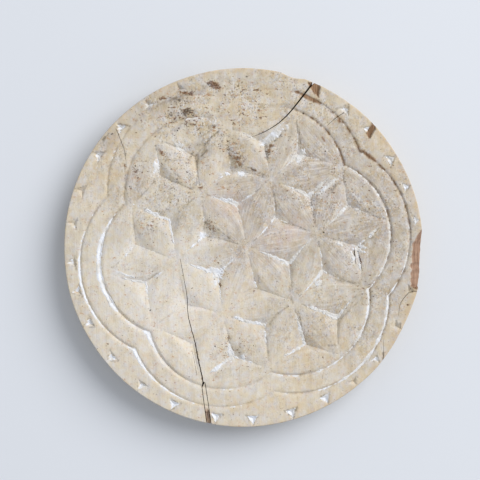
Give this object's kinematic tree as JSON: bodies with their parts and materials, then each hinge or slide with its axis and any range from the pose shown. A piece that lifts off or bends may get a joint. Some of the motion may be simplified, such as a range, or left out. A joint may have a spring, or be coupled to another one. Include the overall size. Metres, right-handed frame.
{
  "type": "carved chapati board",
  "caption": "Round wooden chapati board, chip-carved on its face with a compass flower inside scalloped grooves, with a notched rim, old splits and white lime left in the cuts.",
  "frame": {"origin": "centre of the round plank, on its plain face", "axes": "+Z out of the carved face, +Y towards the top of the board as it is shown leaning, +X to its right"},
  "size_m": [0.2794, 0.28, 0.026],
  "materials": {
    "bleached_wood": "matte",
    "lime": "matte"
  },
  "bodies": {
    "root": {"board": "bleached_wood", "split_sliver": "bleached_wood", "lime_chip_edge_1": "lime", "lime_chip_edge_2": "lime", "lime_chip_edge_3": "lime", "lime_chip_edge_4": "lime", "lime_chip_edge_5": "lime", "lime_chip_edge_6": "lime", "lime_chip_inner_1": "lime", "lime_chip_inner_2": "lime", "lime_chip_inner_3": "lime", "lime_chip_inner_4": "lime", "lime_chip_inner_5": "lime", "lime_chip_inner_6": "lime", "lime_chip_left_1": "lime", "lime_chip_left_2": "lime", "lime_chip_left_3": "lime", "lime_chip_left_4": "lime", "lime_chip_left_5": "lime", "lime_chip_left_6": "lime", "lime_chip_right_1": "lime", "lime_chip_right_2": "lime", "lime_chip_right_3": "lime", "lime_chip_right_4": "lime", "lime_chip_right_5": "lime", "lime_chip_right_6": "lime", "lime_inner_groove_1": "lime", "lime_inner_groove_2": "lime", "lime_inner_groove_3": "lime", "lime_inner_groove_4": "lime", "lime_inner_groove_5": "lime", "lime_inner_groove_6": "lime", "lime_notch_01": "lime", "lime_notch_02": "lime", "lime_notch_03": "lime", "lime_notch_04": "lime", "lime_notch_05": "lime", "lime_notch_11": "lime", "lime_notch_12": "lime", "lime_notch_13": "lime", "lime_notch_14": "lime", "lime_notch_15": "lime", "lime_notch_16": "lime", "lime_notch_17": "lime", "lime_notch_18": "lime", "lime_notch_19": "lime", "lime_notch_20": "lime", "lime_notch_21": "lime", "lime_notch_22": "lime", "lime_notch_23": "lime", "lime_notch_24": "lime", "lime_notch_25": "lime", "lime_notch_27": "lime", "lime_outer_groove_1": "lime", "lime_outer_groove_2": "lime", "lime_outer_groove_3": "lime", "lime_outer_groove_4": "lime", "lime_outer_groove_5": "lime", "lime_outer_groove_6": "lime"}
  },
  "joints": []
}
